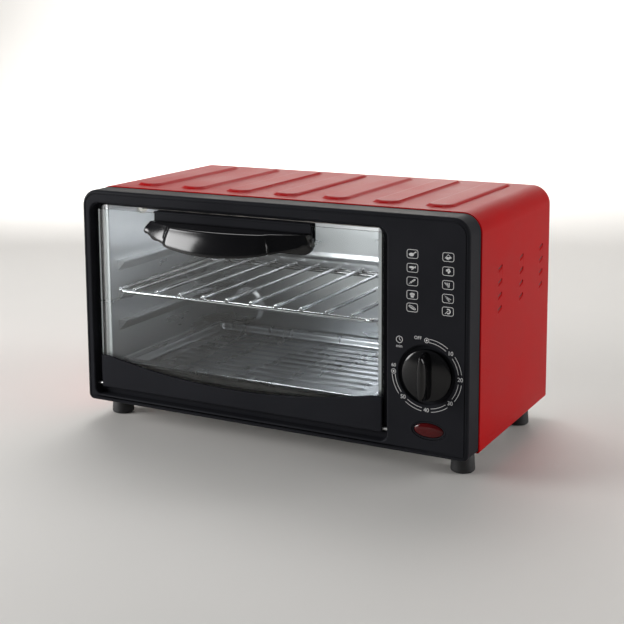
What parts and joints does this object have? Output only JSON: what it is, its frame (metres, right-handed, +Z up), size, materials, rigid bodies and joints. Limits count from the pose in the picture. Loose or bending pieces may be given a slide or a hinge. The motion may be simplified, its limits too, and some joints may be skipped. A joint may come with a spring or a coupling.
{
  "type": "toaster oven",
  "caption": "Countertop toaster oven: red wrap-round casing, black front, drop-down glass door with bowed handle, timer knob, wire rack and baking tray inside.",
  "frame": {"origin": "under the middle of the whole object, on the surface it stands on", "axes": "+Z up, -Y is the front with the door, +X is the side of the control panel"},
  "size_m": [0.3616, 0.2278, 0.2092],
  "materials": {
    "red_paint": "satin gloss red powder coat",
    "black_paint": "satin black",
    "gloss_black": "glossy moulded plastic",
    "clear_glass": "clear toughened glass",
    "plated_steel": "bright plated sheet, softly reflective",
    "zinc_steel": "zinc plated",
    "black_rubber": "matt black rubber",
    "element_steel": "heat-stained steel tube",
    "white_ceramic": "unglazed white ceramic",
    "bell_brass": "plain brass",
    "red_lens": "translucent red plastic",
    "white_plastic": "moulded plastic",
    "black_plastic": "moulded plastic",
    "lead_sleeve": "silicone sleeve",
    "chrome_wire": "bright chrome wire",
    "tray_steel": "grey coated pressed steel"
  },
  "bodies": {
    "oven": {"base_plate": "plated_steel", "casing_screw_1": "zinc_steel", "casing_screw_2": "zinc_steel", "casing_screw_3": "zinc_steel", "casing_screw_4": "zinc_steel", "casing_screw_5": "zinc_steel", "casing_screw_6": "zinc_steel", "cavity_back_wall": "plated_steel", "cavity_floor": "plated_steel", "cavity_front_ring": "plated_steel", "cavity_left_wall": "plated_steel", "cavity_right_wall": "plated_steel", "cavity_roof": "plated_steel", "cord_gland": "black_rubber", "element_lower_front": "element_steel", "element_lower_rear": "element_steel", "element_upper_front": "element_steel", "element_upper_rear": "element_steel", "foot_front_left": "black_rubber", "foot_front_right": "black_rubber", "foot_rear_left": "black_rubber", "foot_rear_right": "black_rubber", "foot_screw_front_left": "zinc_steel", "foot_screw_front_right": "zinc_steel", "foot_screw_rear_left": "zinc_steel", "foot_screw_rear_right": "zinc_steel", "front_frame": "black_paint", "indicator_bezel": "black_paint", "indicator_lamp": "white_plastic", "indicator_lens": "red_lens", "insulator_lower_front_left": "white_ceramic", "insulator_lower_front_right": "white_ceramic", "insulator_lower_rear_left": "white_ceramic", "insulator_lower_rear_right": "white_ceramic", "insulator_upper_front_left": "white_ceramic", "insulator_upper_front_right": "white_ceramic", "insulator_upper_rear_left": "white_ceramic", "insulator_upper_rear_right": "white_ceramic", "lead_lower_elements": "lead_sleeve", "lead_timer": "lead_sleeve", "lead_upper_elements": "lead_sleeve", "outer_casing": "red_paint", "rear_panel": "plated_steel", "terminal_block": "white_plastic", "thermal_fuse": "black_plastic", "timer_bell": "bell_brass", "timer_body": "zinc_steel"},
    "door": {"door_glass": "clear_glass", "door_trim": "black_paint", "door_bracket": "black_paint", "door_handle": "gloss_black", "hinge_pin_left": "zinc_steel", "hinge_pin_right": "zinc_steel", "handle_screw_left": "zinc_steel", "handle_screw_right": "zinc_steel"},
    "knob": {"timer_knob": "gloss_black", "timer_shaft": "zinc_steel"},
    "rack": {"wire_rack": "chrome_wire"},
    "tray": {"baking_tray": "tray_steel"}
  },
  "joints": [
    {"name": "door_hinge", "type": "hinge", "parent": "oven", "child": "door", "pos_m": [-0.03, -0.0727, 0.0328], "axis": [1, 0, 0], "range_deg": [0, 80]},
    {"name": "timer_turn", "type": "hinge", "parent": "oven", "child": "knob", "pos_m": [0.1456, -0.0784, 0.0825], "axis": [0, 1, 0], "range_deg": [0, 270]},
    {"name": "rack_slide", "type": "slide", "parent": "oven", "child": "rack", "axis": [0, -1, 0], "range_m": [0, 0.064]},
    {"name": "tray_slide", "type": "slide", "parent": "oven", "child": "tray", "axis": [0, -1, 0], "range_m": [0, 0.04]}
  ],
  "couplings": [
    {"joint": "rack_slide", "follows": "door_hinge", "m_per_rad": 0.045},
    {"joint": "tray_slide", "follows": "door_hinge", "m_per_rad": 0.028}
  ]
}
